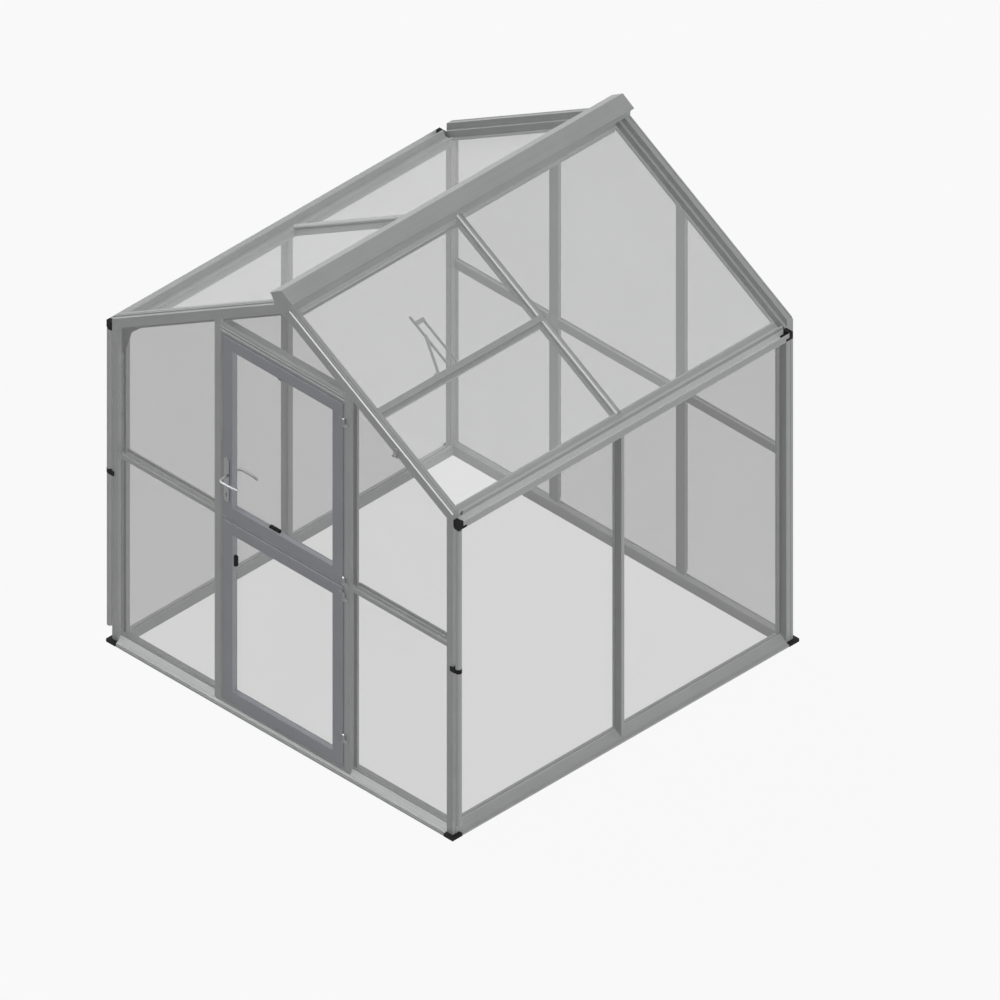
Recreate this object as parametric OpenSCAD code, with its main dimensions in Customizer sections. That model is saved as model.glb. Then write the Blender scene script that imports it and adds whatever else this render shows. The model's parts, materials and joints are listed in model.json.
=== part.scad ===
// Polycarbonate greenhouse with a split door, a roof vent, gutters and downpipes.
// Millimetres. +X runs along the door gable, +Y into the house, +Z up from the ground.
// The origin is the centre of the post frame at ground level.

/* [Overall] */
// Width over the corner posts
frame_w = 2080; // [1900:10:2300]
// Depth over the corner posts
frame_d = 2080; // [1900:10:3000]
// Width over the two gutters
gutters_w = 2160; // [2150:10:2180]
// Top of the rafters at the outer face of the posts
eaves_h = 1720; // [1700:5:1760]
// Roof pitch in degrees
roof_pitch = 30; // [29:0.5:31]
// Top of the ridge cap above the point where the rafter tops meet
ridge_rise = 59.6; // [58:0.2:64]

/* [Glazing bars] */
// Width of a corner post along the gable
post_w = 36; // [30:1:40]
// Depth of a corner post along the side wall
post_d = 41; // [38:1:45]
// How far the gable panels lie behind the face of the bars
gable_recess = 18; // [14:1:22]
// How far the side panels lie behind the face of the bars
side_recess = 36; // [30:1:40]
// Thickness of the polycarbonate panels
panel_t = 6; // [4:1:8]
// Width of the nose of a wall stud
stud_nose = 18; // [14:1:24]
// Height of the gable rails
rail_h = 20; // [16:1:26]
// Middle height of the gable rails
rail_z = 1006; // [950:1:1050]

/* [Roof] */
// Depth of the roof panels below the rafter tops, at right angles to the slope
roof_recess = 60; // [52:1:60]
// Width of the top of a gable rafter
gable_rafter_w = 37; // [34:1:42]
// Width of the round nose of the middle rafter
mid_rafter_w = 34; // [30:1:34]
// How far the middle rafter lies behind the middle of the side walls
mid_rafter_y = 25; // [24:1:30]
// Half width of the ridge cap
cap_half_w = 68; // [66:1:74]
// Distance up the slope from the eaves to the lower edge of the vent
vent_low = 555; // [500:5:650]

/* [Door] */
// Clear width between the door jambs
door_clear_w = 760; // [740:2:780]
// Underside of the lintel
lintel_z = 1973; // [1950:1:1980]
// Height at which the door is split
split_z = 1000; // [990:1:1010]
// Running gap round each leaf
leaf_gap = 6; // [5:0.5:8]
// Width of the face of a stile or rail, without its lip
stile_face = 56; // [50:1:60]
// Height of the lever handle
handle_z = 1225; // [1200:1:1250]

/* [Drainage] */
// Outer diameter of a downpipe
pipe_d = 29; // [25:1:29]
// Lower end of a downpipe
pipe_foot_z = 75; // [60:5:120]
// Height of a gutter from its floor to its lip
gutter_h = 44; // [40:1:48]

/* [Hidden] */

$fn = 48;
aluminium = [0.56, 0.57, 0.56];
door_grey = [0.47, 0.48, 0.5];
black_plastic = [0.04, 0.04, 0.04];
clear_panel = [0.75, 0.77, 0.76, 0.5];
bright_steel = [0.75, 0.75, 0.77];

half_w = frame_w / 2;
half_d = frame_d / 2;
joint_reach = 19;
big = 3000;

stud_x = 387;
stud_flange = 14;

// Planes of the walls, measured on the right and on the front.
side_face = half_w - side_recess;
side_back = side_face - panel_t;
flange_back = side_back - 8;
gable_face = half_d - gable_recess;
gable_back = gable_face - panel_t;
bar_back = gable_back - 12;
sill_in_x = side_back - 14;
sill_in_y = gable_back - 30;
post_in_x = half_w - post_w;
post_in_y = half_d - post_d;

// Heights at the foot of the walls.
joint_h = 16;
joint_floor = 10;
sill_base_h = 20;
gable_sill_h = 52;
side_sill_h = 46;
sill_nose_reach = 17;
beam_foot_z = 1632;
beam_in_x = 976;

// Roof: depths measured down from the rafter tops, at right angles to the slope.
cos_p = cos(roof_pitch);
front_drop = 57;
ledge_drop = roof_recess + panel_t;
gable_drop = ledge_drop + 8;
mid_drop = ledge_drop + 24;
mid_web = 6;
mid_flange = 20;
fit_gap = 0.3;
slope_len = half_w / cos_p;
apex_z = eaves_h + half_w * tan(roof_pitch);
ridge_z = apex_z + ridge_rise;
cap_drop = 43;
cap_t = 4.5;
ridge_front_y = -half_d - 8;
ridge_back_y = half_d;
web_half = 14;
web_h = 43;
web_stub = 3;
rail_flange_t = 8;
rail_flange_h = 12;

// Door.
jamb_w = 34;
jamb_in = door_clear_w / 2;
jamb_out = jamb_in + jamb_w;
leaf_half = jamb_in - leaf_gap;
leaf_front = -half_d;
leaf_t = 30;
leaf_back = leaf_front + leaf_t;
lip_w = 12;
lip_step = 6;
pane_front = leaf_front + 24;
leaf_foot_z = 30;
lower_top_z = split_z - leaf_gap / 2;
upper_foot_z = split_z + leaf_gap / 2;
upper_top_z = lintel_z - leaf_gap;
hinge_x = jamb_in;
hinge_y = -half_d - 7;
pin_r = 3.5;
pin_bore_r = 3.58;
stop_t = 6;
stop_reach = 10;
barrel_r = 5.5;
barrel_h = 26;
upper_hinges = [1021, 1860];
lower_hinges = [189, 939];
handle_x = -340;
spindle_r = 6;
spindle_bore_r = 6.08;
lever_r = 6.5;
lever_out = 50;
lever_len = 110;

// Drainage.
gutter_w = gutters_w / 2 - half_w;
gutter_foot_z = eaves_h - 84;
gutter_front_y = -half_d + 5;
gutter_back_y = half_d - 40;
gutter_wall = 2;
gutter_r = 14;
gutter_floor = 15;
cap_len = 42;
cap_collar = 20;
cap_step = 22;
pipe_x = half_w + 24.5;
pipe_y = -half_d + 12;
clip_z = 882;

function roof_z(x, drop) = eaves_h + (half_w - abs(x)) * tan(roof_pitch) - drop / cos_p;

module box(x0, x1, y0, y1, z0, z1) {
    translate([x0, y0, z0]) cube([x1 - x0, y1 - y0, z1 - z0]);
}

// A section drawn in X and Z, run along Y.
module run_y(y0, y1) {
    translate([0, y1, 0]) rotate([90, 0, 0]) linear_extrude(y1 - y0) children();
}

// A section drawn in Y and Z, run along X.
module run_x(x0, x1) {
    translate([x0, 0, 0]) rotate([90, 0, 90]) linear_extrude(x1 - x0) children();
}

module left_and_right() {
    children();
    mirror([1, 0, 0]) children();
}

module at_back() {
    mirror([0, 1, 0]) children();
}

// Places a shape on the right roof slope: X down the slope, Z out of it,
// with zero at the rafter top over the outer face of the posts.
module on_slope() {
    translate([half_w, 0, eaves_h]) rotate([0, roof_pitch, 0]) children();
}

module under_slopes(drop, y0, y1) {
    reach = half_w + 100;
    run_y(y0, y1) polygon([
        [-reach, 0], [reach, 0], [reach, roof_z(reach, drop)],
        [0, roof_z(0, drop)], [-reach, roof_z(reach, drop)],
    ]);
}

// Everything in the gable walls stops at the underside of the rafters.
module below_rafters(gap = 0) {
    intersection() {
        children();
        union() {
            for (side = [0, 1]) mirror([0, side, 0]) {
                under_slopes(front_drop + gap, -half_d - 10, -gable_back);
                under_slopes(gable_drop + gap, -gable_back, 0);
            }
        }
    }
}

// ---------- base ----------

module gable_sill_nose() {
    reach = half_d + sill_nose_reach;
    polygon([
        [-reach, 0], [-reach, 10], [-reach + 5, 10], [-reach + 5, 15],
        [-half_d, sill_base_h], [-sill_in_y, sill_base_h], [-sill_in_y, 0],
    ]);
}

module gable_sill_upstand() {
    polygon([
        [-half_d, sill_base_h], [-gable_face - 2, gable_sill_h - 6], [-gable_face - 2, gable_sill_h],
        [-sill_in_y, gable_sill_h], [-sill_in_y, sill_base_h],
    ]);
}

// The side sills pass behind the ends of the gable sills.
module side_sill_notch() {
    left_and_right() box(sill_in_x, half_w, -post_in_y, 0, -1, gable_sill_h + 1);
}

module front_sill() {
    color(aluminium) difference() {
        union() {
            run_x(-post_in_x, post_in_x) gable_sill_nose();
            left_and_right() run_x(jamb_out, post_in_x) gable_sill_upstand();
        }
        side_sill_notch();
    }
}

module back_sill() {
    color(aluminium) at_back() difference() {
        union() {
            run_x(-post_in_x, post_in_x) gable_sill_nose();
            run_x(-post_in_x, post_in_x) gable_sill_upstand();
        }
        side_sill_notch();
    }
}

module side_sills() {
    reach = half_w + sill_nose_reach;
    color(aluminium) left_and_right() run_y(-post_in_y, post_in_y) polygon([
        [reach, 0], [reach, 10], [reach - 7, 12], [half_w, 16], [side_face + 2, side_sill_h - 6],
        [side_face, side_sill_h], [sill_in_x, side_sill_h], [sill_in_x, 0],
    ]);
}

module base_corner_joints() {
    color(black_plastic) for (back = [0, 1]) mirror([0, back, 0]) left_and_right() difference() {
        box(post_in_x, half_w + joint_reach, -half_d - joint_reach, -post_in_y, 0, joint_h);
        box(post_in_x - 1, half_w, -half_d, -post_in_y + 1, joint_floor, joint_h + 1);
    }
}

// ---------- walls ----------

// Corner post at the front right: a square tube with a web and a flange behind the side panel.
module corner_post() {
    groove = 3;
    web_y = -post_in_y - 6;
    color(aluminium) below_rafters() {
        difference() {
            box(post_in_x, half_w, -half_d, -post_in_y, joint_floor, eaves_h);
            box(half_w - 11, half_w - 11 + groove, -half_d - 1, -half_d + 2, joint_h, eaves_h);
            box(half_w - 2, half_w + 1, -half_d + 15, -half_d + 15 + groove, joint_h, eaves_h);
        }
        box(flange_back, post_in_x, web_y, web_y + 6, gable_sill_h, eaves_h);
        box(flange_back, side_back, web_y + 6, -post_in_y + 18, side_sill_h, beam_foot_z);
    }
}

module front_right_post() {
    corner_post();
}

module front_left_post() {
    mirror([1, 0, 0]) corner_post();
}

module back_right_post() {
    at_back() corner_post();
}

module back_left_post() {
    at_back() mirror([1, 0, 0]) corner_post();
}

module side_wall_studs() {
    color(aluminium) left_and_right() {
        run_y(-stud_nose / 2, stud_nose / 2) polygon([
            [side_back, side_sill_h], [side_face, side_sill_h], [side_face + 2, side_sill_h - 6],
            [half_w, 16], [half_w, beam_foot_z], [side_back, beam_foot_z],
        ]);
        box(flange_back, side_back, -stud_flange, stud_flange, side_sill_h, beam_foot_z);
    }
}

module door_jambs() {
    color(aluminium) below_rafters() left_and_right() {
        box(jamb_in, jamb_out, -half_d, -bar_back, sill_base_h, apex_z);
        box(jamb_out, jamb_out + 18, -gable_back, -bar_back, gable_sill_h, apex_z);
    }
}

// Strips behind the jambs and on the sill that the closed leaves meet.
module door_stops() {
    foot = gable_sill_h + 2;
    half = jamb_in - stop_reach - 4;
    color(aluminium) {
        left_and_right() box(
            jamb_in - stop_reach, jamb_out - 10, -bar_back, -bar_back + stop_t, foot, lintel_z - 1
        );
        box(-half, half, -bar_back, -bar_back + stop_t, sill_base_h, sill_base_h + 22);
    }
}

module door_lintel() {
    top = lintel_z + 39;
    color(aluminium) {
        run_x(-jamb_in, jamb_in) polygon([
            [-half_d, lintel_z], [-half_d, lintel_z + 9], [-half_d + 4, lintel_z + 11],
            [-half_d + 4, lintel_z + 15], [-half_d, lintel_z + 17], [-half_d, top - 11],
            [-half_d + 4, top - 9], [-half_d + 4, top - 5], [-half_d, top - 3], [-half_d, top],
            [-sill_in_y, top], [-sill_in_y, lintel_z],
        ]);
    }
}

module back_gable_studs() {
    nose = stud_nose / 2;
    color(aluminium) at_back() left_and_right() {
        intersection() {
            box(stud_x - nose, stud_x + nose, -half_d, -gable_back, gable_sill_h, apex_z);
            under_slopes(front_drop, -half_d - 1, -gable_back + 1);
        }
        intersection() {
            box(stud_x - nose * 3, stud_x + nose * 3, -gable_back, -bar_back, gable_sill_h, apex_z);
            under_slopes(gable_drop, -gable_back - 1, -bar_back + 1);
        }
    }
}

// A grooved nose outside the panels, a deep part behind them and a taller flange on the inside.
module gable_rail(x0, x1, in0, in1, nose_y) {
    low = rail_z - rail_h / 2;
    high = low + rail_h;
    groove_y = -gable_face - 6;
    difference() {
        union() {
            box(x0, x1, -nose_y, -gable_back, low, high);
            box(x0 + in0, x1 - in1, -gable_back, -bar_back, low, high);
            box(
                x0 + in0, x1 - in1, -bar_back, -bar_back + rail_flange_t,
                low - rail_flange_h, high + rail_flange_h
            );
        }
        box(x0 - 1, x1 + 1, groove_y, groove_y + 3, high - 3, high + 1);
    }
}

module front_gable_rails() {
    color(aluminium) left_and_right() gable_rail(jamb_out, post_in_x, 18, 20, half_d);
}

module back_gable_rails() {
    nose = stud_nose / 2;
    nose_y = half_d - 9;
    color(aluminium) at_back() {
        gable_rail(-stud_x + nose, stud_x - nose, nose * 2, nose * 2, nose_y);
        left_and_right() gable_rail(stud_x + nose, post_in_x, nose * 2, 20, nose_y);
    }
}

module side_wall_panels() {
    color(clear_panel) left_and_right() {
        box(side_back, side_face, -post_in_y, -stud_nose / 2, side_sill_h, beam_foot_z);
        box(side_back, side_face, stud_nose / 2, post_in_y, side_sill_h, beam_foot_z);
    }
}

// One bay of a gable: a lower and an upper panel with the rail between them.
module gable_bay(x0, x1) {
    box(x0, x1, -gable_face, -gable_back, gable_sill_h, rail_z - rail_h / 2);
    box(x0, x1, -gable_face, -gable_back, rail_z + rail_h / 2, apex_z);
}

module front_gable_panels() {
    color(clear_panel) difference() {
        below_rafters(fit_gap) {
            left_and_right() gable_bay(jamb_out, post_in_x);
            box(-jamb_in, jamb_in, -gable_face, -gable_back, lintel_z + 39, apex_z);
        }
        ridge_solid();
    }
}

module back_gable_panels() {
    nose = stud_nose / 2;
    color(clear_panel) difference() {
        at_back() below_rafters(fit_gap) {
            gable_bay(-stud_x + nose, stud_x - nose);
            left_and_right() gable_bay(stud_x + nose, post_in_x);
        }
        ridge_solid();
    }
}

// ---------- eaves and drainage ----------

module eave_section() {
    lip = 1698;
    floor = 1674;
    polygon([
        [half_w, beam_foot_z], [half_w, lip], [half_w - 7, lip], [half_w - 18, floor],
        [half_w - 40, floor], [half_w - 54, floor + 14], [beam_in_x, roof_z(beam_in_x, roof_recess)],
        [beam_in_x, beam_foot_z + 18], [flange_back, beam_foot_z],
    ]);
}

// The ends of the eave beams are cut away under the gable rafters.
module rafter_room() {
    box(-120, 120, -post_in_y - 1, gable_seat + 12, -gable_drop, 60);
}

module eave_beams() {
    color(aluminium) left_and_right() difference() {
        run_y(-post_in_y, post_in_y) eave_section();
        on_slope() rafter_room();
        at_back() on_slope() rafter_room();
    }
}

// Section of a gutter: rounded lower corners, standing on its lowest point.
module gutter_shape(w, h) {
    r = gutter_r;
    translate([r, 0]) square([w - 2 * r, h]);
    translate([0, r]) square([w, h - r]);
    translate([r, r]) circle(r);
    translate([w - r, r]) circle(r);
}

// Places a shape beside the right eave beam, with zero at the bottom of the gutter.
module beside_eave() {
    translate([half_w, 0, gutter_foot_z]) children();
}

// Bottom of a gutter, rounded below and flat inside.
module gutter_floors() {
    color(aluminium) left_and_right() beside_eave() intersection() {
        run_y(gutter_front_y + cap_len, gutter_back_y - cap_len) gutter_shape(gutter_w, gutter_h);
        box(-1, gutter_w + 1, -half_d, half_d, -1, gutter_floor);
    }
}

// Both walls run on over the low collars of the end caps.
module gutter_walls() {
    cap_end = cap_len - cap_collar;
    color(aluminium) left_and_right() beside_eave() for (x = [0, gutter_w - gutter_wall]) {
        box(x, x + gutter_wall, gutter_front_y + cap_len, gutter_back_y - cap_len, gutter_floor, gutter_h);
        box(
            x, x + gutter_wall, gutter_front_y + cap_end, gutter_back_y - cap_end,
            gutter_h - cap_step, gutter_h
        );
    }
}

// Closed caps, each with a lower collar round the end of its gutter.
// The front ones stand over the downpipes.
module gutter_end_caps() {
    color(black_plastic) left_and_right() beside_eave() {
        run_y(gutter_front_y, gutter_front_y + cap_len - cap_collar) gutter_shape(gutter_w, gutter_h);
        run_y(gutter_front_y, gutter_front_y + cap_len) gutter_shape(gutter_w, gutter_h - cap_step);
        run_y(gutter_back_y - cap_len + cap_collar, gutter_back_y) gutter_shape(gutter_w, gutter_h);
        run_y(gutter_back_y - cap_len, gutter_back_y) gutter_shape(gutter_w, gutter_h - cap_step);
    }
}

module downpipes() {
    wall = 2;
    color(aluminium) left_and_right() translate([pipe_x, pipe_y, 0]) difference() {
        translate([0, 0, pipe_foot_z]) cylinder(d = pipe_d, h = gutter_foot_z - pipe_foot_z);
        translate([0, 0, pipe_foot_z - 1])
            cylinder(d = pipe_d - 2 * wall, h = gutter_foot_z - pipe_foot_z + 2);
    }
}

module pipe_clips() {
    clip_r = pipe_d / 2 + 1;
    clip_h = 22;
    color(black_plastic) left_and_right() difference() {
        union() {
            translate([pipe_x, pipe_y, clip_z]) cylinder(r = clip_r, h = clip_h);
            box(half_w, pipe_x, pipe_y - 8, pipe_y + 8, clip_z, clip_z + clip_h);
            box(half_w - 12, pipe_x - 4, -half_d - 6, -half_d, clip_z, clip_z + clip_h);
            box(half_w, pipe_x - 6, -half_d - 6, pipe_y - 4, clip_z, clip_z + clip_h);
        }
        translate([pipe_x, pipe_y, clip_z - 1]) cylinder(d = pipe_d, h = clip_h + 2);
    }
}

// ---------- roof ----------

// Diamond section under the ridge cap: the rafters and panels run into its sides.
module ridge_section(web) {
    slope = cap_drop / cap_half_w;
    crown = ridge_z - cap_t - 1.5;
    tip = cap_half_w - 6;
    side = 46;
    side_low = apex_z - 30.4;
    throat = side_low - (side - web_half);
    polygon([
        [0, crown], [tip, crown - tip * slope], [side, side_low + 16], [side, side_low],
        [web_half, throat], [web_half, throat - web], [-web_half, throat - web], [-web_half, throat],
        [-side, side_low], [-side, side_low + 16], [-tip, crown - tip * slope],
    ]);
}

// The deep web ends between the gable rafters.
module ridge_solid() {
    web_end = -gable_seat - 12;
    run_y(ridge_front_y, ridge_back_y) ridge_section(web_stub);
    run_y(-web_end, web_end) ridge_section(web_h);
}

module ridge_beam() {
    color(aluminium) ridge_solid();
}

module ridge_cap() {
    color(aluminium) run_y(ridge_front_y, ridge_back_y) polygon([
        [0, ridge_z], [cap_half_w, ridge_z - cap_drop], [cap_half_w, ridge_z - cap_drop - cap_t],
        [0, ridge_z - cap_t], [-cap_half_w, ridge_z - cap_drop - cap_t], [-cap_half_w, ridge_z - cap_drop],
    ]);
}

// A pair of rafters from a section in Y and Z, cut plumb at the eaves and let into the ridge.
module rafter_pair(end_x) {
    left_and_right() difference() {
        intersection() {
            on_slope() run_x(-slope_len - 100, 100) children();
            box(fit_gap, end_x, -big, big, 0, big);
        }
        ridge_solid();
    }
}

// From the front: a face, a chamfer, a step up to the grooved top, and the ledges for the sheet.
module gable_rafter_section() {
    chamfer = 5;
    shelf = 7;
    groove = [-half_d + chamfer + 8, -half_d + chamfer + 12];
    top_in = -half_d + gable_rafter_w;
    step_in = top_in + 13;
    polygon([
        [-half_d, -shelf - chamfer], [-half_d + chamfer, -shelf], [-half_d + chamfer, 0],
        [groove[0], 0], [groove[0], -3], [groove[1], -3], [groove[1], 0], [top_in, 0],
        [top_in, -32], [step_in, -32], [step_in, -ledge_drop], [step_in + 12, -ledge_drop],
        [step_in + 12, -gable_drop], [-gable_back, -gable_drop], [-gable_back, -front_drop],
        [-half_d, -front_drop],
    ]);
}

module front_rafters() {
    color(aluminium) rafter_pair(half_w) gable_rafter_section();
}

module back_rafters() {
    color(aluminium) at_back() difference() {
        rafter_pair(half_w) gable_rafter_section();
        at_back() ridge_solid();
    }
}

// A half-round nose over the joint of two sheets and a box beam under it.
module middle_rafter_section() {
    nose_r = mid_rafter_w / 2;
    translate([mid_rafter_y, -roof_recess]) intersection() {
        circle(nose_r);
        translate([-nose_r, 0]) square([mid_rafter_w, nose_r]);
    }
    translate([mid_rafter_y - mid_web, -ledge_drop]) square([mid_web * 2, panel_t]);
    translate([mid_rafter_y - mid_flange, -mid_drop]) square([mid_flange * 2, mid_drop - ledge_drop]);
}

module middle_rafters() {
    low = mid_rafter_y - mid_flange - 1;
    high = mid_rafter_y + mid_flange + 1;
    color([0.7, 0.71, 0.7]) difference() {
        rafter_pair(990) middle_rafter_section();
        left_and_right() run_y(low, high) eave_section();
        left_and_right() box(flange_back, half_w + 1, low, stud_flange, 1500, beam_foot_z + 1);
    }
}

// Distance of a panel edge from the rafters it lies between.
gable_seat = -half_d + gable_rafter_w + 13;

// One sheet of the right slope, from the web of the ridge beam or from x0 down to x1.
module roof_sheet(x0, x1, y0, y1) {
    intersection() {
        on_slope() box(x0, x1, y0, y1, -ledge_drop, -roof_recess);
        box(web_half + fit_gap, beam_in_x, -big, big, 0, big);
    }
}

module roof_panels() {
    front_edge = mid_rafter_y - mid_web;
    back_edge = mid_rafter_y + mid_web;
    color(clear_panel) {
        roof_sheet(-vent_low - 2, 0, gable_seat, front_edge);
        mirror([1, 0, 0]) roof_sheet(-slope_len, 0, gable_seat, front_edge);
        left_and_right() roof_sheet(-slope_len, 0, back_edge, -gable_seat);
    }
}

vent_rail = 28;
vent_rail_top = 38;
vent_top = slope_len - 75;

// Lower rail on top of the vent sheet, with a tongue over the middle rafter, and the rail at its hinge.
module vent_rails() {
    nose_edge = mid_rafter_y - mid_rafter_w / 2 - 1;
    tongue_end = mid_rafter_y - 6;
    color(aluminium) on_slope() {
        box(-vent_low - vent_rail, -vent_low, gable_seat, nose_edge, -roof_recess, -vent_rail_top);
        box(-vent_low - vent_rail, -vent_low, nose_edge, tongue_end, -vent_rail_top - 4, -vent_rail_top);
        box(-vent_top, -vent_top + 12, gable_seat, nose_edge, -roof_recess, -roof_recess + 8);
    }
}

module vent_panel() {
    color(clear_panel) roof_sheet(-slope_len, -vent_low - 4, gable_seat, mid_rafter_y - mid_web);
}

module vent_crossbar() {
    color(aluminium) on_slope() box(
        -vent_low - vent_rail - 4, -vent_low + 15, gable_seat + 12, mid_rafter_y - mid_flange,
        -mid_drop, -ledge_drop
    );
}

// Two guide bars on the crossbar with a link at their upper ends and a slanting stay.
module vent_opener() {
    bar_end = -vent_low - vent_rail - 4;
    bar_low = -84;
    bar = 8;
    color(aluminium) on_slope() {
        box(bar_end - 290, bar_end, -507, -507 + bar, bar_low, bar_low + bar);
        box(bar_end - 250, bar_end, -460, -460 + bar, bar_low, bar_low + bar);
        box(bar_end - 258, bar_end - 238, -507, -452, bar_low + bar, bar_low + bar + 4);
        translate([bar_end - 184, -503, bar_low + bar]) rotate([0, 0, -22.5])
            box(0, 194, -6, 6, 0, 5);
        box(bar_end - 14, bar_end, -594, -566, bar_low, bar_low + bar);
    }
}

// Plate between the front left post and the gable rafter.
module gusset_plate() {
    plate = 3;
    near = -gable_back + 3;
    tip_x = 887;
    color(aluminium) mirror([1, 0, 0]) run_y(near, near + plate) polygon([
        [post_in_x, 1530], [post_in_x, roof_z(post_in_x, gable_drop) - fit_gap],
        [tip_x, roof_z(tip_x, gable_drop) - fit_gap], [948, 1667], [984, 1552],
    ]);
}

// ---------- door ----------

// A leaf frame: four members with a raised face and a thinner lip round the outside.
module leaf_frame(z0, z1) {
    member = stile_face + lip_w;
    difference() {
        union() {
            box(-leaf_half, leaf_half, leaf_front + lip_step, leaf_back, z0, z1);
            box(
                -leaf_half + lip_w, leaf_half - lip_w, leaf_front, leaf_front + lip_step,
                z0 + lip_w, z1 - lip_w
            );
        }
        box(-leaf_half + member, leaf_half - member, leaf_front - 1, leaf_back + 1, z0 + member, z1 - member);
    }
}

// Hinge strap and barrel, bored for its pin.
module hinge_barrel(z) {
    strap = 3;
    strap_len = 34;
    translate([0, 0, z]) {
        difference() {
            union() {
                translate([hinge_x, hinge_y, 0]) cylinder(r = barrel_r, h = barrel_h);
                box(hinge_x - strap_len, hinge_x - 3, leaf_front - strap, leaf_front, 0, barrel_h);
            }
            translate([hinge_x, hinge_y, -1]) cylinder(r = pin_bore_r, h = barrel_h + 2);
        }
        box(hinge_x - strap_len, hinge_x - lip_w - leaf_gap, leaf_front - 1, leaf_front + 1, 0, barrel_h);
    }
}

module hinge_brackets() {
    block = 8;
    color(bright_steel) for (z = concat(upper_hinges, lower_hinges)) translate([0, 0, z - block - 2]) {
        box(hinge_x - 4, hinge_x + 18, hinge_y - 5, -half_d, 0, block);
        translate([hinge_x, hinge_y, 0]) cylinder(r = pin_r, h = block + 2 + barrel_h + 4);
    }
}

module upper_door_frame() {
    color(door_grey) difference() {
        union() {
            leaf_frame(upper_foot_z, upper_top_z);
            for (z = upper_hinges) hinge_barrel(z);
        }
        translate([handle_x, leaf_back + 1, handle_z]) rotate([90, 0, 0])
            cylinder(r = spindle_r + 3, h = leaf_t + 2);
    }
}

module lower_door_frame() {
    color(door_grey) {
        leaf_frame(leaf_foot_z, lower_top_z);
        for (z = lower_hinges) hinge_barrel(z);
    }
}

module leaf_pane(z0, z1) {
    member = stile_face + lip_w;
    color(clear_panel) box(
        -leaf_half + member, leaf_half - member, pane_front, leaf_back, z0 + member, z1 - member
    );
}

module upper_door_pane() {
    leaf_pane(upper_foot_z, upper_top_z);
}

module lower_door_pane() {
    leaf_pane(leaf_foot_z, lower_top_z);
}

// Long plates with round ends on both faces of the lock stile.
module handle_plates() {
    plate_w = 32;
    low = 1108;
    high = 1308;
    plate = 3;
    color(bright_steel) for (face = [leaf_front - plate, leaf_back]) difference() {
        union() {
            box(handle_x - plate_w / 2, handle_x + plate_w / 2, face, face + plate, low, high);
            for (z = [low, high]) translate([handle_x, face + plate, z]) rotate([90, 0, 0])
                cylinder(d = plate_w, h = plate);
        }
        translate([handle_x, face + plate + 1, handle_z]) rotate([90, 0, 0])
            cylinder(r = spindle_bore_r, h = plate + 2);
        translate([handle_x, face + plate + 1, handle_z - 92]) rotate([90, 0, 0])
            cylinder(d = 9, h = plate + 2);
        box(handle_x - 2, handle_x + 2, face - 1, face + plate + 1, handle_z - 110, handle_z - 92);
    }
}

module lever(reach_y) {
    translate([handle_x, reach_y, handle_z]) {
        sphere(r = lever_r);
        rotate([0, 90, 0]) cylinder(r = lever_r, h = lever_len);
        translate([lever_len, 0, 0]) sphere(r = lever_r);
    }
}

module door_handle() {
    outer_y = leaf_front - lever_out;
    inner_y = leaf_back + lever_out;
    color(bright_steel) {
        translate([handle_x, inner_y, handle_z]) rotate([90, 0, 0])
            cylinder(r = spindle_r, h = inner_y - outer_y);
        lever(outer_y);
        lever(inner_y);
    }
}

// Low catch with bevelled ends, standing on the inner edge of a leaf frame in front of the pane.
module pane_latch(len, h) {
    bevel = 4;
    run_y(pane_front - 14, pane_front - 1) polygon([
        [-len / 2, 0], [-len / 2 + bevel, h], [len / 2 - bevel, h], [len / 2, 0],
    ]);
}

module upper_door_latches() {
    member = stile_face + lip_w;
    color(black_plastic) {
        translate([-61, 0, upper_foot_z + member]) pane_latch(64, 13);
        translate([-29, 0, upper_top_z - member]) mirror([0, 0, 1]) pane_latch(24, 16);
    }
}

module lower_door_latch() {
    color(black_plastic) translate([-leaf_half + stile_face + lip_w, 0, 788])
        rotate([0, 90, 0]) pane_latch(56, 14);
}

// Round stud under the right front rafter that holds the opened door.
module door_catch() {
    catch_x = 695;
    catch_z = 1858;
    color(aluminium) {
        box(catch_x - 13, catch_x + 13, -half_d - 4, -half_d, catch_z - 16, catch_z + 28);
        translate([catch_x, -half_d - 4, catch_z]) rotate([90, 0, 0]) cylinder(r = 7, h = 16);
    }
}

front_sill();
back_sill();
side_sills();
base_corner_joints();
front_left_post();
front_right_post();
back_left_post();
back_right_post();
side_wall_studs();
door_jambs();
door_stops();
door_lintel();
back_gable_studs();
front_gable_rails();
back_gable_rails();
eave_beams();
gutter_floors();
gutter_walls();
gutter_end_caps();
downpipes();
pipe_clips();
front_rafters();
middle_rafters();
back_rafters();
ridge_beam();
ridge_cap();
vent_crossbar();
vent_rails();
vent_panel();
vent_opener();
gusset_plate();
side_wall_panels();
front_gable_panels();
back_gable_panels();
roof_panels();
hinge_brackets();
door_catch();
upper_door_frame();
upper_door_pane();
handle_plates();
upper_door_latches();
door_handle();
lower_door_frame();
lower_door_pane();
lower_door_latch();
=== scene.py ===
import json
import math

import bmesh
import bpy
from mathutils import Matrix, Vector


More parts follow.
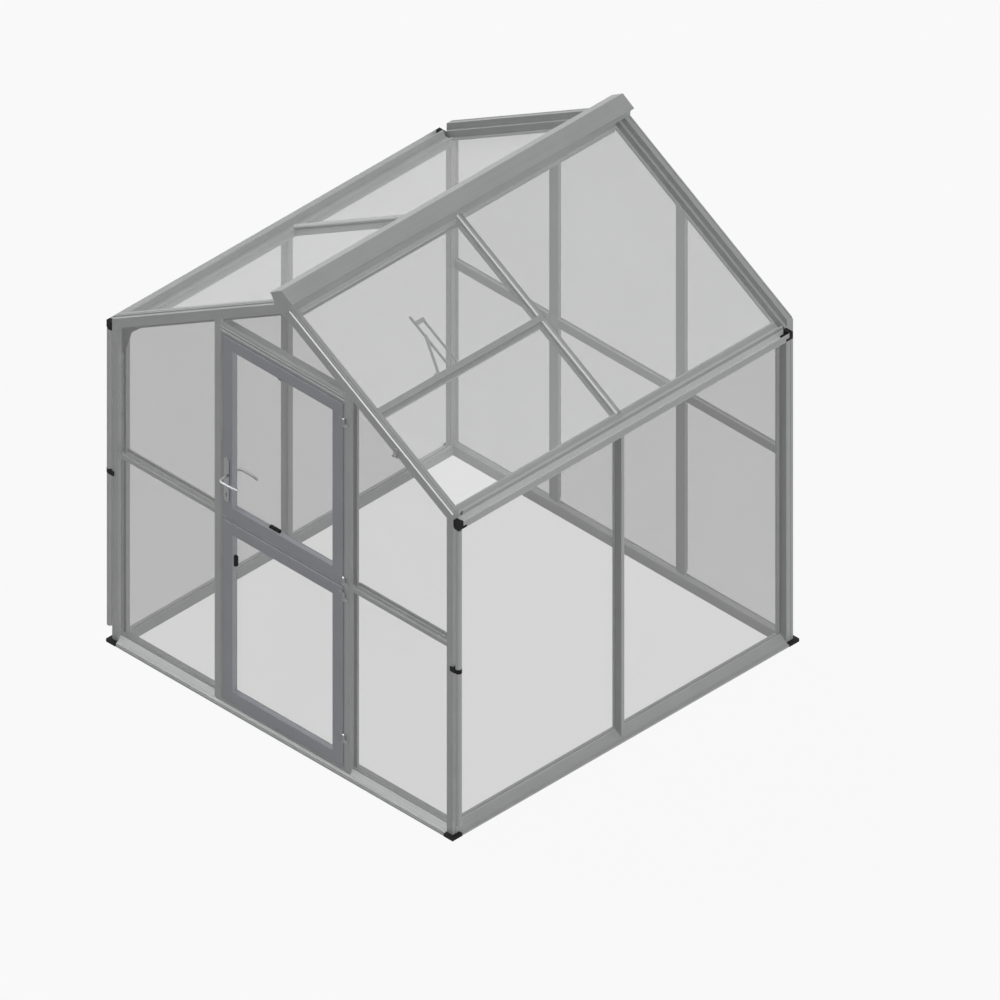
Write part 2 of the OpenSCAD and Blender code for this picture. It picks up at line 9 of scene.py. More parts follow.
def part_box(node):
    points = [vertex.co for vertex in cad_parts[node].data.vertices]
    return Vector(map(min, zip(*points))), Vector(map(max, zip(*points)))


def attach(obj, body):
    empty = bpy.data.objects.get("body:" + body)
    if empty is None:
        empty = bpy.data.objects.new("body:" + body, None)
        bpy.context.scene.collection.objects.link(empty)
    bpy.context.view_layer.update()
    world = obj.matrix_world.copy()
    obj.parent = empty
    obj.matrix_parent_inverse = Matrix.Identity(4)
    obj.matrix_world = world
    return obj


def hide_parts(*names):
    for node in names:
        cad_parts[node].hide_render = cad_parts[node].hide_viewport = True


bl_info = {
    "name": "Polycarbonate greenhouse",
    "version": (1, 0, 0),
    "blender": (4, 5, 0),
    "location": "3D View > Sidebar > Greenhouse",
    "description": "Finishes and small parts of a greenhouse with a split door and a roof vent",
    "category": "Object",
}

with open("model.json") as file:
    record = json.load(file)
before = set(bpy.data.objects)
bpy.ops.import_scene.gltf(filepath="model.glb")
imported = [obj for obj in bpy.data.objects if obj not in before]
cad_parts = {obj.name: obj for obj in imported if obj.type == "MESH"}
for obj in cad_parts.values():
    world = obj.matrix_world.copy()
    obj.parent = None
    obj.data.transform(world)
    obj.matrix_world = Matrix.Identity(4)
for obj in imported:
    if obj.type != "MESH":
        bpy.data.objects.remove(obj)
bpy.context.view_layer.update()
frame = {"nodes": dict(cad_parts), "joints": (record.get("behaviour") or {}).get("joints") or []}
PITCH = math.radians(30.0)


def low(node):
    """Lowest corner of a CAD piece at rest."""
    return Vector(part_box(node)[0])


def high(node):
    """Highest corner of a CAD piece at rest."""
    return Vector(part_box(node)[1])


def joint_place(name):
    """Where a joint turns."""
    return Vector(next(joint["pos_m"] for joint in frame["joints"] if joint["name"] == name))


# ---------- shader tools ----------

class Value:
    """A number in a shader, with the arithmetic that adds its Math nodes."""

    def __init__(self, net, socket):
        self.net = net
        self.socket = socket

    def maths(self, operation, *terms):
        out = self.net.make("ShaderNodeMath", {"operation": operation}, dict(enumerate(terms)))
        return Value(self.net, out.outputs[0])

    def __add__(self, other):
        return self.maths("ADD", self, other)

    def __radd__(self, other):
        return self.maths("ADD", other, self)

    def __sub__(self, other):
        return self.maths("SUBTRACT", self, other)

    def __rsub__(self, other):
        return self.maths("SUBTRACT", other, self)

    def __mul__(self, other):
        return self.maths("MULTIPLY", self, other)

    def __rmul__(self, other):
        return self.maths("MULTIPLY", other, self)

    def __truediv__(self, other):
        return self.maths("DIVIDE", self, other)

    def __rtruediv__(self, other):
        return self.maths("DIVIDE", other, self)

    def __abs__(self):
        return self.maths("ABSOLUTE", self)

    def below(self, limit):
        return self.maths("LESS_THAN", self, limit)

    def part(self, period):
        return self.maths("FRACT", self / period)

    def clamped(self):
        return self.maths("MINIMUM", self.maths("MAXIMUM", self, 0.0), 1.0)

    def ramp(self, low, high):
        """0 at low and 1 at high, eased between them."""
        out = self.net.make(
            "ShaderNodeMapRange", {"interpolation_type": "SMOOTHSTEP"},
            {"Value": self, "From Min": low, "From Max": high},
        )
        return Value(self.net, out.outputs[0])


class Net:
    """The nodes of one new material or world."""

    def __init__(self, name, shelf="materials"):
        self.owner = getattr(bpy.data, shelf).new(name)
        self.owner.use_nodes = True
        self.tree = self.owner.node_tree
        self.tree.nodes.clear()

    def make(self, kind, settings=None, sockets=None):
        """Adds a node: its settings first, then the values or links of its sockets."""
        node = self.tree.nodes.new(kind)
        for key, setting in (settings or {}).items():
            setattr(node, key, setting)
        for key, term in (sockets or {}).items():
            if isinstance(term, Value):
                term = term.socket
            if isinstance(term, bpy.types.NodeSocket):
                self.tree.links.new(term, node.inputs[key])
            else:
                node.inputs[key].default_value = term
        return node

    def point(self):
        """X, Y and Z of the surface in the object's own frame, as numbers."""
        place = self.make("ShaderNodeTexCoord").outputs["Object"]
        split = self.make("ShaderNodeSeparateXYZ", None, {0: place})
        return [Value(self, out) for out in split.outputs]

    def seen(self):
        """1 for what is seen directly, in a reflection or through a clear surface, and 0 for light."""
        ray = self.make("ShaderNodeLightPath")
        seen = Value(self, ray.outputs["Is Camera Ray"])
        for kind in ("Is Glossy Ray", "Is Transmission Ray"):
            seen = seen.maths("MAXIMUM", seen, Value(self, ray.outputs[kind]))
        return seen

    def noise(self, x, y, z, detail=2.0, rough=0.5):
        place = self.make("ShaderNodeCombineXYZ", None, {0: x, 1: y, 2: z}).outputs[0]
        out = self.make("ShaderNodeTexNoise", None, {
            "Vector": place, "Scale": 1.0, "Detail": detail, "Roughness": rough,
        })
        return Value(self, out.outputs["Fac"])

    def blend(self, fraction, one, two):
        """Colour one where fraction is 0 and colour two where it is 1."""
        mix = self.make("ShaderNodeMix", {"data_type": "RGBA"}, {"Factor": fraction})
        for key, colour in ((6, one), (7, two)):
            if isinstance(colour, bpy.types.NodeSocket):
                self.tree.links.new(colour, mix.inputs[key])
            else:
                mix.inputs[key].default_value = colour
        return mix.outputs[2]

    def bump(self, height, depth, strength=1.0):
        out = self.make("ShaderNodeBump", None, {
            "Height": height, "Distance": depth, "Strength": strength,
        })
        return out.outputs["Normal"]

    def surface(self, sockets):
        """Ends the material in a Principled shader."""
        shader = self.make("ShaderNodeBsdfPrincipled", None, sockets)
        end = self.make("ShaderNodeOutputMaterial", None, {"Surface": shader.outputs[0]})
        end.is_active_output = True
        return self.owner


def shade(colour, factor=1.0):
    """A colour property as a socket's four numbers."""
    return (colour[0] * factor, colour[1] * factor, colour[2] * factor, 1.0)


ALONG = {"x": (0.9, 70.0, 70.0), "y": (70.0, 0.9, 70.0), "z": (70.0, 70.0, 0.9)}


def streak_place(net, along):
    """Coordinates that are stretched along a bar, also down both roof slopes."""
    x, y, z = net.point()
    if along == "slope":
        side = abs(x)
        down = side * math.cos(PITCH) - z * math.sin(PITCH)
        out = side * math.sin(PITCH) + z * math.cos(PITCH)
        return (down * 0.9, y * 70.0, out * 70.0), (x, y, z)
    scale = ALONG[along]
    return (x * scale[0], y * scale[1], z * scale[2]), (x, y, z)


def bare_aluminium(name, colour, roughness, metallic, along, painted_light=None):
    """Extruded aluminium: die lines along the bar, cloudy oxide and a few dull spots.

    Given a limit and a factor, it is that factor times brighter closer to the middle of the house than
    the limit: painted light that lifts the shade inside the gutters.
    """
    net = Net(name)
    streak, (x, y, z) = streak_place(net, along)
    lines = net.noise(*streak, detail=3.0)
    cloud = net.noise(x * 7.0, y * 7.0, z * 7.0, detail=3.0)
    grain = net.noise(x * 420.0, y * 420.0, z * 420.0, detail=1.0)
    spots = net.noise(x * 38.0, y * 38.0, z * 38.0, detail=2.0).ramp(0.66, 0.78)
    tone = (lines * 0.5 + cloud * 0.5).ramp(0.3, 0.7)
    base = net.blend(tone, shade(colour, 0.96), shade(colour, 1.04))
    base = net.blend(spots * 0.3, base, shade(colour, 0.86))
    # Painted light: inside the gutters the base colour is made brighter to lift the shade of the
    # trough.
    if painted_light:
        base = net.blend(abs(x).below(painted_light[0]), base, shade(colour, painted_light[1]))
    rough = roughness + (lines - 0.5) * 0.14 + (cloud - 0.5) * 0.1 + spots * 0.08
    return net.surface({
        "Base Color": base, "Metallic": metallic, "Roughness": rough.clamped(),
        "Normal": net.bump(lines * 0.8 + grain * 0.2, 0.0002, 0.35),
    })


def coated_grey(name, colour):
    """Powder-coated leaf frames: fine orange peel and a little dust in faint clouds."""
    net = Net(name)
    x, y, z = net.point()
    peel = net.noise(x * 320.0, y * 320.0, z * 320.0, detail=2.0)
    cloud = net.noise(x * 5.0, y * 5.0, z * 5.0, detail=3.0)
    base = net.blend(cloud.ramp(0.3, 0.7), shade(colour, 0.97), shade(colour, 1.03))
    return net.surface({
        "Base Color": base, "Metallic": 0.1, "Roughness": (0.42 + (cloud - 0.5) * 0.14).clamped(),
        "Normal": net.bump(peel, 0.00025, 0.35),
    })


def black_plastic(name, colour):
    """Moulded black plastic: fine texture and paler rubbed patches."""
    net = Net(name)
    x, y, z = net.point()
    grain = net.noise(x * 600.0, y * 600.0, z * 600.0, detail=1.0)
    rub = net.noise(x * 24.0, y * 24.0, z * 24.0, detail=3.0).ramp(0.5, 0.75)
    base = net.blend(rub * 0.4, shade(colour), shade(colour, 3.0))
    return net.surface({
        "Base Color": base, "Roughness": (0.55 + rub * 0.15).clamped(),
        "Specular IOR Level": 0.12, "Normal": net.bump(grain, 0.0002, 0.4),
    })


def bright_steel(name, colour, along, metallic=0.85, roughness=0.24):
    """Brushed stainless steel of the handle and hinges."""
    net = Net(name)
    streak, (x, y, z) = streak_place(net, along)
    fine = [term * 6.0 for term in streak]
    lines = net.noise(*fine, detail=2.0)
    base = net.blend(lines, shade(colour, 0.93), shade(colour, 1.05))
    return net.surface({
        "Base Color": base, "Metallic": metallic,
        "Roughness": (roughness + (lines - 0.5) * 0.16).clamped(),
        "Normal": net.bump(lines, 0.0001, 0.3),
    })


def grey_rubber(name, colour):
    """Grey rubber with a fine grain and a little dust."""
    net = Net(name)
    x, y, z = net.point()
    grain = net.noise(x * 500.0, y * 500.0, z * 500.0, detail=1.0)
    dust = net.noise(x * 12.0, y * 12.0, z * 12.0, detail=3.0)
    base = net.blend(dust.ramp(0.35, 0.7), shade(colour, 0.92), shade(colour, 1.1))
    return net.surface({
        "Base Color": base, "Roughness": (0.7 + (dust - 0.5) * 0.2).clamped(),
        "Normal": net.bump(grain, 0.0002, 0.3),
    })


def twin_wall_sheet(name, colour, skin, across, pitch=0.0065):
    """Translucent twin-wall sheet: ribs along one way, with dust in the hollow chambers.

    Each skin covers the share skin of what is behind it, and three quarters less of the light.
    """
    net = Net(name)
    x, y, z = net.point()
    over = {"x": x, "y": y}[across]
    rib = abs(over.part(pitch) - 0.5).ramp(0.38, 0.5)
    haze = net.noise(x * 2.2, y * 2.2, z * 2.2, detail=3.0)
    dust = net.noise(x * 60.0, y * 60.0, z * 60.0, detail=2.0)
    base = net.blend(haze.ramp(0.3, 0.7), shade(colour, 0.98), shade(colour, 1.02))
    cover = skin + rib * 0.02 + (haze - 0.5) * 0.02 + (dust - 0.5) * 0.01
    lets_in = Value(net, net.make("ShaderNodeLightPath").outputs["Is Shadow Ray"]) * 0.75
    alpha = cover * (1 - lets_in)
    return net.surface({
        "Base Color": base, "Alpha": alpha.clamped(),
        "Roughness": (0.32 + (dust - 0.5) * 0.12 + rib * 0.05).clamped(),
        "Normal": net.bump(rib, 0.0002, 0.15),
    })


# ---------- modelling tools ----------

def slab(shape, corner, opposite, edge=0.0006):
    """Adds a block between two corners, with its edges broken."""
    corner = Vector(corner)
    opposite = Vector(opposite)
    made = bmesh.ops.create_cube(shape, size=1.0)["verts"]
    bmesh.ops.scale(shape, vec=opposite - corner, verts=made)
    bmesh.ops.translate(shape, vec=(corner + opposite) / 2, verts=made)
    edges = list({line for point in made for line in point.link_edges})
    bmesh.ops.bevel(
        shape, geom=edges, offset=edge, affect="EDGES", segments=2, profile=0.5, material=-1,
    )


def disc(shape, centre, radius, facing, around=20):
    """Adds a round face that looks along facing, ready to be pushed out."""
    turn = Vector(facing).to_track_quat("Z", "Y").to_matrix().to_4x4()
    made = bmesh.ops.create_circle(
        shape, cap_ends=True, radius=radius, segments=around, matrix=Matrix.Translation(centre) @ turn,
    )
    return made["verts"][0].link_faces[0]


def push(shape, face, along, grow=1.0):
    """Extrudes a face and returns the new end, which may be wider or narrower."""
    made = bmesh.ops.extrude_face_region(shape, geom=[face])["geom"]
    points = [item for item in made if isinstance(item, bmesh.types.BMVert)]
    bmesh.ops.translate(shape, vec=along, verts=points)
    end = next(item for item in made if isinstance(item, bmesh.types.BMFace))
    middle = end.calc_center_median()
    bmesh.ops.scale(
        shape, vec=(grow, grow, grow), verts=points, space=Matrix.Translation(-middle),
    )
    return end


def bend(shape, face, centre, axis, angle, steps):
    """Carries a face round a curve and returns the new end."""
    made = bmesh.ops.spin(
        shape, geom=[face], cent=centre, axis=axis, angle=angle, steps=steps, dvec=(0, 0, 0),
    )["geom_last"]
    return next(item for item in made if isinstance(item, bmesh.types.BMFace))


def dome(shape, face, height, rings=3):
    """Rounds off the end of a bar or pin."""
    way = face.normal.copy()
    done = 0.0
    size = 1.0
    for ring in range(1, rings + 1):
        turn = math.pi / 2 * ring / (rings + 0.5)
        rise = math.sin(turn)
        width = math.cos(turn)
        face = push(shape, face, way * height * (rise - done), width / size)
        done = rise
        size = width
    return face


def settle(name, shape, material, body, smooth=False):
    """Makes the mesh an object of the house that rides on a body."""
    bmesh.ops.remove_doubles(shape, verts=shape.verts, dist=0.00001)
    bmesh.ops.recalc_face_normals(shape, faces=shape.faces)
    if smooth:
        for face in shape.faces:
            face.smooth = True
    mesh = bpy.data.meshes.new(name)
    shape.to_mesh(mesh)
    shape.free()
    mesh.materials.append(material)
    if smooth:
        mesh.set_sharp_from_angle(angle=math.radians(40.0))
    piece = bpy.data.objects.new(name, mesh)
    bpy.context.scene.collection.objects.link(piece)
    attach(piece, body)
    return piece


def dress(material, *names):
    """Gives CAD pieces their finish."""
    for name in names:
        piece = frame["nodes"][name]
        if not piece.material_slots:
            piece.data.materials.append(material)
        for holder in piece.material_slots:
            holder.material = material


# ---------- settings ----------

class FinishSettings(bpy.types.PropertyGroup):
    """Colours and finishes of the greenhouse."""

    metal: bpy.props.FloatVectorProperty(
        name="Aluminium", description="Colour of the bare aluminium bars",
        subtype="COLOR", size=3, min=0.0, max=1.0, default=(0.31, 0.316, 0.314),
    )
    metal_shine: bpy.props.FloatProperty(
        name="Metal share", description="How much the bars mirror their surroundings",
        subtype="FACTOR", min=0.0, max=1.0, default=0.25,
    )
    metal_roughness: bpy.props.FloatProperty(
        name="Bar roughness", description="Roughness of the bare aluminium bars",
        subtype="FACTOR", min=0.0, max=1.0, default=0.48,
    )
    leaf_grey: bpy.props.FloatVectorProperty(
        name="Door frame", description="Colour of the coated frames of the door leaves",
        subtype="COLOR", size=3, min=0.0, max=1.0, default=(0.27, 0.275, 0.3),
    )
    plastic: bpy.props.FloatVectorProperty(
        name="Black plastic", description="Colour of the joints, end caps, clips and latches",
        subtype="COLOR", size=3, min=0.0, max=1.0, default=(0.006, 0.006, 0.006),
    )
    steel: bpy.props.FloatVectorProperty(
        name="Lever", description="Colour of the lever handle",
        subtype="COLOR", size=3, min=0.0, max=1.0, default=(0.38, 0.38, 0.39),
    )
    pin: bpy.props.FloatVectorProperty(
        name="Pins", description="Colour of the heads of the hinge pins",
        subtype="COLOR", size=3, min=0.0, max=1.0, default=(0.75, 0.75, 0.76),
    )
    plate: bpy.props.FloatVectorProperty(
        name="Handle plates", description="Colour of the plates behind the lever",
        subtype="COLOR", size=3, min=0.0, max=1.0, default=(0.26, 0.26, 0.27),
    )
    rubber: bpy.props.FloatVectorProperty(
        name="Seals", description="Colour of the rubber strips round the leaves",
        subtype="COLOR", size=3, min=0.0, max=1.0, default=(0.33, 0.33, 0.335),
    )
    # The gable, side and roof sheets are one material in three colours: lit and shaded copies, so part
    # of the sheets' shading is painted into these colours.
    gable_sheet_painted_shading: bpy.props.FloatVectorProperty(
        name="Gable sheet", description="Colour of the sheets in the gables and the door",
        subtype="COLOR", size=3, min=0.0, max=1.0, default=(0.41, 0.41, 0.41),
    )
    side_sheet_painted_shading: bpy.props.FloatVectorProperty(
        name="Side sheet", description="Colour of the sheets in the side walls",
        subtype="COLOR", size=3, min=0.0, max=1.0, default=(0.27, 0.27, 0.27),
    )
    roof_sheet: bpy.props.FloatVectorProperty(
        name="Roof sheet", description="Colour of the sheets of the roof and the vent",
        subtype="COLOR", size=3, min=0.0, max=1.0, default=(0.52, 0.53, 0.525),
    )
    # Painted light: the factor that brightens the base colour inside the gutters, standing in for light
    # in the shaded trough.
    trough: bpy.props.FloatProperty(
        name="Trough", description="How much brighter the washed inside of the gutters is",
        min=1.0, max=3.0, default=1.5,
    )
    sheet_alpha: bpy.props.FloatProperty(
        name="Sheet cover", description="How much one skin of a sheet covers what is behind it",
        subtype="FACTOR", min=0.0, max=1.0, default=0.222,
    )


class PartSettings(bpy.types.PropertyGroup):
    """Sizes of the small parts that are added to the frame."""

    pin_tops: bpy.props.FloatVectorProperty(
        name="Pin tops", description="Heights of the hinge pins' heads",
        unit="LENGTH", size=3, default=(0.219, 1.051, 1.89),
    )
    pin_head: bpy.props.FloatProperty(
        name="Pin head", description="Radius of the head of a hinge pin",
        unit="LENGTH", default=0.0048,
    )
    lever_bend: bpy.props.FloatProperty(
        name="Lever bend", description="Radius of the bend between the spindle and the grip",
        unit="LENGTH", default=0.022,
    )
    seal_front: bpy.props.FloatProperty(
        name="Seal front", description="How far the door seals lie behind the face of the leaves",
        unit="LENGTH", default=0.004,
    )
    seal_depth: bpy.props.FloatProperty(
        name="Seal depth", description="Depth of the door seals",
        unit="LENGTH", default=0.02,
    )


class StageSettings(bpy.types.PropertyGroup):
    """Camera, floor and light."""

    view_width: bpy.props.FloatProperty(
        name="View width", description="Width of what the camera takes in",
        unit="LENGTH", min=1.0, max=20.0, default=4.32,
    )
    turn: bpy.props.FloatProperty(
        name="Turn", description="Camera's turn round the house from the door gable",
        subtype="ANGLE", default=math.radians(45.0),
    )
    height: bpy.props.FloatProperty(
        name="Height", description="Camera's angle above the horizon",
        subtype="ANGLE", default=math.radians(35.2644),
    )
    floor: bpy.props.FloatVectorProperty(
        name="Floor", description="Colour of the floor",
        subtype="COLOR", size=3, min=0.0, max=1.0, default=(0.35, 0.35, 0.35),
    )
    glow: bpy.props.FloatProperty(
        name="Floor white", description="How much of the floor's shadow is lifted to white",
        subtype="FACTOR", min=0.0, max=1.0, default=0.92,
    )
    sky: bpy.props.FloatProperty(
        name="Sky", description="Strength of the even light from all round",
        min=0.0, max=5.0, default=0.3,
    )
    right_lamp: bpy.props.FloatProperty(
        name="Right lamp", description="Strength of the large lamp above the right side",
        min=0.0, max=20.0, default=1.79,
    )
    right_from: bpy.props.FloatVectorProperty(
        name="Right lamp from", description="Direction towards the right lamp",
        subtype="DIRECTION", size=3, default=(0.93, -0.053, 0.365),
    )
    left_lamp: bpy.props.FloatProperty(
        name="Left lamp", description="Strength of the large lamp above the left side",
        min=0.0, max=20.0, default=2.41,
    )
    left_from: bpy.props.FloatVectorProperty(
        name="Left lamp from", description="Direction towards the left lamp",
        subtype="DIRECTION", size=3, default=(-0.777, -0.013, 0.629),
    )
    edge_lamp: bpy.props.FloatProperty(
        name="Edge lamp", description="Strength of the lamp that only brings out the edges",
        min=0.0, max=20.0, default=2.5,
    )
    rafter_edge_from: bpy.props.FloatVectorProperty(
        name="Rafter edge from", description="Direction towards the lamp for the rafters' edges",
        subtype="DIRECTION", size=3, default=(0.106, -0.788, 0.604),
    )
    sill_edge_from: bpy.props.FloatVectorProperty(
        name="Sill edge from", description="Direction towards the lamp for the sills' edges",
        subtype="DIRECTION", size=3, default=(-0.577, -0.577, 0.577),
    )
    shadow: bpy.props.FloatProperty(
        name="Shadow", description="Share of the left lamp that casts shadows",
        subtype="FACTOR", min=0.0, max=1.0, default=0.25,
    )


# ---------- operators ----------

class GREENHOUSE_OT_bars(bpy.types.Operator):
    """Finishes the bars, sills, gutters and plates of bare aluminium"""

    bl_idname = "greenhouse.bars"
    bl_label = "Aluminium bars"

    def execute(self, context):
        finish = context.scene.greenhouse_finish
        look = (finish.metal, finish.metal_roughness, finish.metal_shine)
        runs = {
            "x": ["front_sill", "back_sill", "door_lintel", "front_gable_rails", "back_gable_rails"],
            "y": ["side_sills", "eave_beams", "ridge_beam", "ridge_cap", "vent_crossbar"],
            "z": ["front_left_post", "front_right_post", "back_left_post", "back_right_post",
                  "side_wall_studs", "door_jambs", "door_stops", "back_gable_studs", "downpipes",
                  "gusset_plate", "door_catch", "hinge_brackets"],
            "slope": ["front_rafters", "middle_rafters", "back_rafters", "vent_rails", "vent_opener"],
        }
        for along, names in runs.items():
            dress(bare_aluminium("aluminium_along_" + along, *look, along), *names)
        # The gutters' insides get a brighter base colour, a painted lift of light over their shade.
        half_wall = 0.001
        inside = (high("gutter_walls").x - half_wall, finish.trough)
        dress(bare_aluminium("aluminium_gutter_painted_light", *look, "y", inside), "gutter_floors", "gutter_walls")
        return {"FINISHED"}


class GREENHOUSE_OT_sheets(bpy.types.Operator):
    """Finishes the twin-wall sheets of the walls, roof, vent and door"""

    bl_idname = "greenhouse.sheets"
    bl_label = "Twin-wall sheets"

    def execute(self, context):
        finish = context.scene.greenhouse_finish
        # One sheet material in three colours, lit and shaded copies that paint part of the shading wall
        # by wall.
        gable = twin_wall_sheet("gable_sheet_painted_shading", finish.gable_sheet_painted_shading, finish.sheet_alpha, "x")
        side = twin_wall_sheet("side_sheet_painted_shading", finish.side_sheet_painted_shading, finish.sheet_alpha, "y")
        roof = twin_wall_sheet("roof_sheet", finish.roof_sheet, finish.sheet_alpha, "y")
        dress(gable, "front_gable_panels", "back_gable_panels", "upper_door_pane", "lower_door_pane")
        dress(side, "side_wall_panels")
        dress(roof, "roof_panels", "vent_panel")
        return {"FINISHED"}


class GREENHOUSE_OT_door(bpy.types.Operator):
    """Finishes the leaf frames and the handle plates"""

    bl_idname = "greenhouse.door"
    bl_label = "Door"

    def execute(self, context):
        finish = context.scene.greenhouse_finish
        coating = coated_grey("leaf_coating", finish.leaf_grey)
        dress(coating, "upper_door_frame", "lower_door_frame")
        dress(bright_steel("plate_steel", finish.plate, "z"), "handle_plates")
        return {"FINISHED"}


class GREENHOUSE_OT_lever(bpy.types.Operator):
    """Makes the bent levers on both faces of the upper leaf"""

    bl_idname = "greenhouse.lever"
    bl_label = "Lever handle"

    def execute(self, context):
        finish = context.scene.greenhouse_finish
        near = low("door_handle")
        far = high("door_handle")
        radius = 0.0065
        taper = 0.9
        straight_share = 0.2
        sweep = math.radians(9.0)
        steps = 8
        middle = Vector((near.x + radius, (near.y + far.y) / 2, (near.z + far.z) / 2))
        out = (far.y - near.y) / 2 - radius
        turn_r = context.scene.greenhouse_parts.lever_bend
        reach = far.x - near.x - 2 * radius
        straight = straight_share * reach
        arc_r = (reach - turn_r - straight) / math.sin(sweep)
        shape = bmesh.new()
        face = disc(shape, middle, radius, (0, -1, 0))
        face = push(shape, face, (0, turn_r - out, 0), taper)
        corner = middle + Vector((turn_r, turn_r - out, 0))
        face = bend(shape, face, corner, (0, 0, 1), math.pi / 2, steps)
        face = push(shape, face, (straight, 0, 0))
        start = face.calc_center_median()
        face = bend(shape, face, start + Vector((0, arc_r, 0)), (0, 0, 1), sweep, steps)
        dome(shape, face, radius * 0.8)
        outer = list(shape.verts) + list(shape.edges) + list(shape.faces)
        copied = bmesh.ops.duplicate(shape, geom=outer)["geom"]
        points = [item for item in copied if isinstance(item, bmesh.types.BMVert)]
        bmesh.ops.scale(shape, vec=(1, -1, 1), verts=points, space=Matrix.Translation(-middle))
        satin = bright_steel("lever_steel", finish.steel, "x", metallic=0.35, roughness=0.38)
        piece = settle("bent_levers", shape, satin, "handle", smooth=True)
        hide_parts("door_handle")
        return {"FINISHED"}


class GREENHOUSE_OT_hinge_pins(bpy.types.Operator):
    """Adds the bright domed heads of the hinge pins"""

    bl_idname = "greenhouse.hinge_pins"
    bl_label = "Hinge pin heads"

    def execute(self, context):
        finish = context.scene.greenhouse_finish
        parts = context.scene.greenhouse_parts
        radius = parts.pin_head
        rise = radius * 0.6
        sunk = 0.0005
        across, depth, _ = joint_place("upper_door_hinge")
        shape = bmesh.new()
        for top in parts.pin_tops:
            face = disc(shape, (across, depth, top - sunk), radius, (0, 0, 1))
            face = push(shape, face, (0, 0, rise))
            dome(shape, face, rise)
        settle("pin_heads", shape, bright_steel("pin_steel", finish.pin, "z"), "house",
               smooth=True)
        return {"FINISHED"}


class GREENHOUSE_OT_seals(bpy.types.Operator):
    """Adds the rubber strips in the gaps round the leaves"""

    bl_idname = "greenhouse.seals"
    bl_label = "Door seals"

    def execute(self, context):
        parts = context.scene.greenhouse_parts
        rubber = grey_rubber("door_rubber", context.scene.greenhouse_finish.rubber)
        play = 0.0015
        edge = 0.0004
        half = -low("upper_door_frame").x
        jamb = high("door_lintel").x
        strip = jamb - half - play
        front = low("front_left_post").y + parts.seal_front
        back = front + parts.seal_depth
        foot = high("front_sill").z
        shape = bmesh.new()
        for side in (-1, 1):
            slab(shape, (side * (jamb - strip), front, foot),
                 (side * jamb, back, low("door_lintel").z), edge)
        settle("jamb_seals", shape, rubber, "house")
        for leaf, drop, rise in (("upper", strip, strip), ("lower", strip * 2, 0.0)):
            bottom = low(leaf + "_door_frame").z
            top = high(leaf + "_door_frame").z
            shape = bmesh.new()
            slab(shape, (-half, front, bottom - drop), (half, back, bottom), edge)
            if rise:
                slab(shape, (-half, front, top), (half, back, top + rise), edge)
            settle(leaf + "_leaf_seals", shape, rubber, leaf + "_door")
        return {"FINISHED"}


class GREENHOUSE_OT_fittings(bpy.types.Operator):
    """Finishes the black corner joints, end caps, clips and latches"""

    bl_idname = "greenhouse.fittings"
    bl_label = "Black fittings"

    def execute(self, context):
        plastic = black_plastic("black_plastic", context.scene.greenhouse_finish.plastic)
        dress(plastic, "base_corner_joints", "gutter_end_caps", "pipe_clips", "upper_door_latches",
              "lower_door_latch")
        return {"FINISHED"}


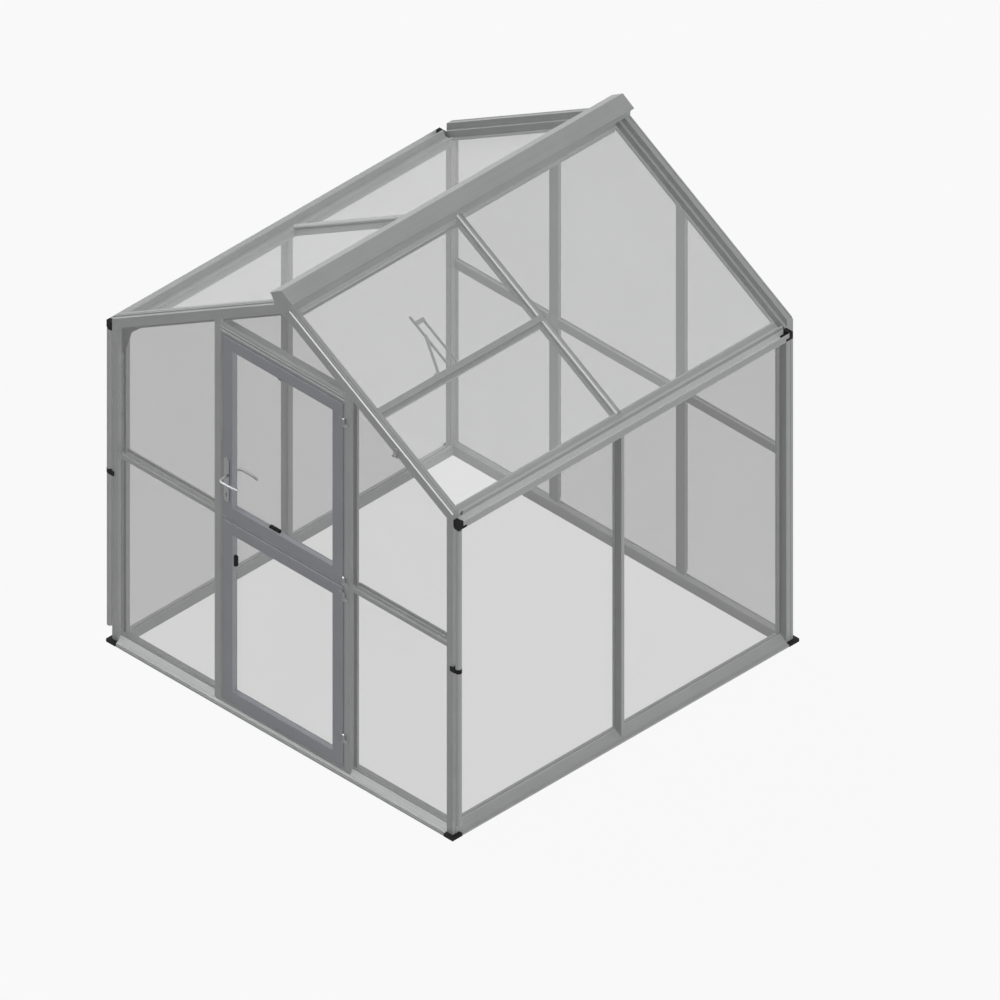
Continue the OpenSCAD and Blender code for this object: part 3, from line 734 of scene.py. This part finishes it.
class GREENHOUSE_OT_stage(bpy.types.Operator):
    """Sets up the camera, the floor and the light"""

    bl_idname = "greenhouse.stage"
    bl_label = "Stage"

    def execute(self, context):
        setup = context.scene.greenhouse_stage
        self.camera(context, setup)
        self.ground(context, setup)
        self.light(context, setup)
        context.scene.view_settings.view_transform = "Standard"
        return {"FINISHED"}

    def camera(self, context, setup):
        away = Vector((math.sin(setup.turn) * math.cos(setup.height),
                       -math.cos(setup.turn) * math.cos(setup.height), math.sin(setup.height)))
        right = Vector((0, 0, 1)).cross(away).normalized()
        up = away.cross(right)
        eye = bpy.data.cameras.new("camera")
        eye.type = "ORTHO"
        eye.ortho_scale = setup.view_width
        eye.clip_end = 100.0
        holder = bpy.data.objects.new("camera", eye)
        context.scene.collection.objects.link(holder)
        aim_right = 0.2047
        aim_up = 0.611
        distance = 12.0
        middle = right * aim_right + up * aim_up
        turn = Matrix((right, up, away)).transposed()
        holder.matrix_world = Matrix.Translation(middle + away * distance) @ turn.to_4x4()
        context.scene.camera = holder

    def ground(self, context, setup):
        reach = 40.0
        drop = 0.0005
        shape = bmesh.new()
        bmesh.ops.create_circle(shape, cap_ends=True, segments=64, radius=reach)
        bmesh.ops.translate(shape, verts=shape.verts, vec=(0.0, 0.0, -drop))
        mesh = bpy.data.meshes.new("floor")
        shape.to_mesh(mesh)
        shape.free()
        floor = bpy.data.objects.new("floor", mesh)
        context.scene.collection.objects.link(floor)
        net = Net("pale_floor")
        seen = net.seen()
        matt = net.make("ShaderNodeBsdfDiffuse", None, {"Color": shade(setup.floor)})
        white = net.make("ShaderNodeEmission", None, {"Color": (1.0, 1.0, 1.0, 1.0), "Strength": 1.0})
        both = net.make("ShaderNodeMixShader", None, {
            0: seen * setup.glow, 1: matt.outputs[0], 2: white.outputs[0],
        })
        net.make("ShaderNodeOutputMaterial", None, {"Surface": both.outputs[0]})
        floor.data.materials.append(net.owner)

    def light(self, context, setup):
        net = Net("even_sky", "worlds")
        power = net.make("ShaderNodeMapRange", None, {
            "Value": net.seen(), "To Min": setup.sky, "To Max": 1.0,
        })
        sky = net.make("ShaderNodeBackground", None, {"Strength": power.outputs[0]})
        net.make("ShaderNodeOutputWorld", None, {"Surface": sky.outputs[0]})
        context.scene.world = net.owner
        self.lamps(context, setup)

    def lamps(self, context, setup):
        """The left lamp is split in two, and only its smaller share casts shadows."""
        right_spread = 40.0
        left_spread = 50.0
        edge_spread = 25.0
        self.lamp(context, "right_lamp", setup.right_lamp, setup.right_from, right_spread, shadow=False)
        fill = setup.left_lamp * (1 - setup.shadow)
        self.lamp(context, "left_fill", fill, setup.left_from, left_spread, shadow=False)
        self.lamp(context, "left_lamp", setup.left_lamp - fill, setup.left_from, left_spread)
        for name, way in (("rafter", setup.rafter_edge_from), ("sill", setup.sill_edge_from)):
            self.lamp(context, name + "_edge_lamp", setup.edge_lamp, way, edge_spread,
                      shadow=False, gloss_only=True)

    def lamp(self, context, name, power, way, spread, shadow=True, gloss_only=False):
        lamp = bpy.data.lights.new(name, "SUN")
        lamp.energy = power
        lamp.angle = math.radians(spread)
        lamp.use_shadow = shadow
        holder = bpy.data.objects.new(name, lamp)
        context.scene.collection.objects.link(holder)
        holder.rotation_mode = "QUATERNION"
        holder.rotation_quaternion = Vector(way).to_track_quat("Z", "Y")
        if gloss_only:
            holder.visible_diffuse = False


PIECES = (
    GREENHOUSE_OT_stage,
    GREENHOUSE_OT_bars,
    GREENHOUSE_OT_sheets,
    GREENHOUSE_OT_door,
    GREENHOUSE_OT_lever,
    GREENHOUSE_OT_hinge_pins,
    GREENHOUSE_OT_seals,
    GREENHOUSE_OT_fittings,
)


class GREENHOUSE_PT_panel(bpy.types.Panel):
    """Lists the steps that finish the greenhouse"""

    bl_idname = "GREENHOUSE_PT_panel"
    bl_label = "Greenhouse"
    bl_space_type = "VIEW_3D"
    bl_region_type = "UI"
    bl_category = "Greenhouse"

    def draw(self, context):
        for piece in PIECES:
            self.layout.operator(piece.bl_idname)
        scene = context.scene
        for group in (scene.greenhouse_finish, scene.greenhouse_parts, scene.greenhouse_stage):
            for name in group.bl_rna.properties.keys():
                if name not in {"rna_type", "name"}:
                    self.layout.prop(group, name)


CLASSES = (FinishSettings, PartSettings, StageSettings, *PIECES, GREENHOUSE_PT_panel)


def register():
    for item in CLASSES:
        bpy.utils.register_class(item)
    bpy.types.Scene.greenhouse_finish = bpy.props.PointerProperty(type=FinishSettings)
    bpy.types.Scene.greenhouse_parts = bpy.props.PointerProperty(type=PartSettings)
    bpy.types.Scene.greenhouse_stage = bpy.props.PointerProperty(type=StageSettings)


def unregister():
    del bpy.types.Scene.greenhouse_stage
    del bpy.types.Scene.greenhouse_parts
    del bpy.types.Scene.greenhouse_finish
    for item in reversed(CLASSES):
        bpy.utils.unregister_class(item)


def main():
    register()
    for piece in PIECES:
        group, name = piece.bl_idname.split(".")
        getattr(getattr(bpy.ops, group), name)()


if __name__ == "__main__":
    main()
